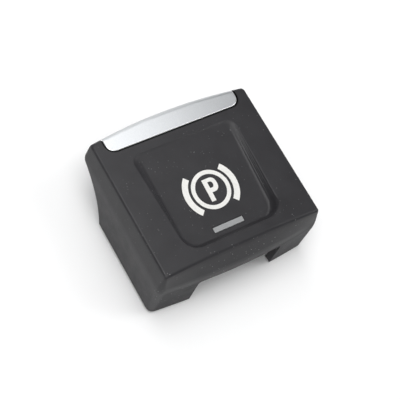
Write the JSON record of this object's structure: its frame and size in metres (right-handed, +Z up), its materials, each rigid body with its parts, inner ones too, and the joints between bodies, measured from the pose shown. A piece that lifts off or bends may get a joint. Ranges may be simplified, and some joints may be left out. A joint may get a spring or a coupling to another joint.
{
  "type": "electric parking brake switch",
  "caption": "Rocking parking brake key with a finger dish, a pull-up lip with a silver trim, and a contact base inside.",
  "frame": {"origin": "under the middle of the key, on the base's mounting face", "axes": "+Z up from the base to the key's face, +Y from the front wall to the pull-up lip, +X to the right"},
  "size_m": [0.035, 0.032, 0.0144],
  "materials": {
    "black_key": "matte, fine grain",
    "silver_trim": "satin silver",
    "grey_lens": "satin",
    "clear_guide": "clear, moulded",
    "black_inner": "matte",
    "natural_plastic": "satin",
    "steel": "bright",
    "green_board": "satin green",
    "brass_contact": "bright",
    "soft_rubber": "matte",
    "led_white": "satin",
    "chip_black": "matte"
  },
  "bodies": {
    "base": {"base_cover": "black_inner", "base_housing": "black_inner", "circuit_board": "green_board", "connector_shroud": "natural_plastic", "contact_1": "brass_contact", "contact_10": "brass_contact", "contact_2": "brass_contact", "contact_3": "brass_contact", "contact_4": "brass_contact", "contact_5": "brass_contact", "contact_6": "brass_contact", "contact_7": "brass_contact", "contact_8": "brass_contact", "contact_9": "brass_contact", "controller_chip_1": "chip_black", "cover_screw_1": "steel", "cover_screw_2": "steel", "cover_screw_3": "steel", "cover_screw_4": "steel", "hinge_pin_left": "steel", "hinge_pin_right": "steel", "indicator_led_1": "led_white", "light_shield": "black_inner", "pull_buffer_1": "soft_rubber", "pull_buffer_2": "soft_rubber", "pull_spring_left": "steel", "pull_spring_right": "steel", "push_buffer_1": "soft_rubber", "push_buffer_2": "soft_rubber", "push_spring_left": "steel", "push_spring_right": "steel", "resistor_1": "chip_black", "resistor_2": "chip_black", "resistor_3": "chip_black", "snap_dome_1": "brass_contact", "snap_dome_2": "brass_contact", "snap_dome_3": "brass_contact", "snap_dome_4": "brass_contact", "symbol_led_1": "led_white", "symbol_led_2": "led_white"},
    "key": {"key_shell": "black_key", "trim_strip": "silver_trim", "indicator_lens": "grey_lens", "symbol_guide": "clear_guide", "light_frame": "black_inner", "rocker": "black_inner"},
    "pull_plunger_left": {"pull_plunger_left": "natural_plastic"},
    "pull_plunger_right": {"pull_plunger_right": "natural_plastic"},
    "push_plunger_left": {"push_plunger_left": "natural_plastic"},
    "push_plunger_right": {"push_plunger_right": "natural_plastic"}
  },
  "joints": [
    {"name": "key_hinge", "type": "hinge", "parent": "base", "child": "key", "pos_m": [0, -0.007, 0.0056], "axis": [1, 0, 0], "range_deg": [-3, 5], "stiffness_Nm_per_rad": 1.2},
    {"name": "pull_plunger_left_slide", "type": "slide", "parent": "base", "child": "pull_plunger_left", "axis": [0, 0, 1], "range_m": [-0.00034, 0.00022], "deforming": ["pull_spring_left"]},
    {"name": "pull_plunger_right_slide", "type": "slide", "parent": "base", "child": "pull_plunger_right", "axis": [0, 0, 1], "range_m": [-0.00034, 0.00022], "deforming": ["pull_spring_right"]},
    {"name": "push_plunger_left_slide", "type": "slide", "parent": "base", "child": "push_plunger_left", "axis": [0, 0, 1], "range_m": [-0.0004, 0.00063], "deforming": ["push_spring_left"]},
    {"name": "push_plunger_right_slide", "type": "slide", "parent": "base", "child": "push_plunger_right", "axis": [0, 0, 1], "range_m": [-0.0004, 0.00063], "deforming": ["push_spring_right"]}
  ],
  "couplings": [
    {"joint": "pull_plunger_left_slide", "follows": "key_hinge", "m_per_rad": -0.0033},
    {"joint": "pull_plunger_right_slide", "follows": "key_hinge", "m_per_rad": -0.0033},
    {"joint": "push_plunger_left_slide", "follows": "key_hinge", "m_per_rad": 0.0066},
    {"joint": "push_plunger_right_slide", "follows": "key_hinge", "m_per_rad": 0.0066}
  ]
}
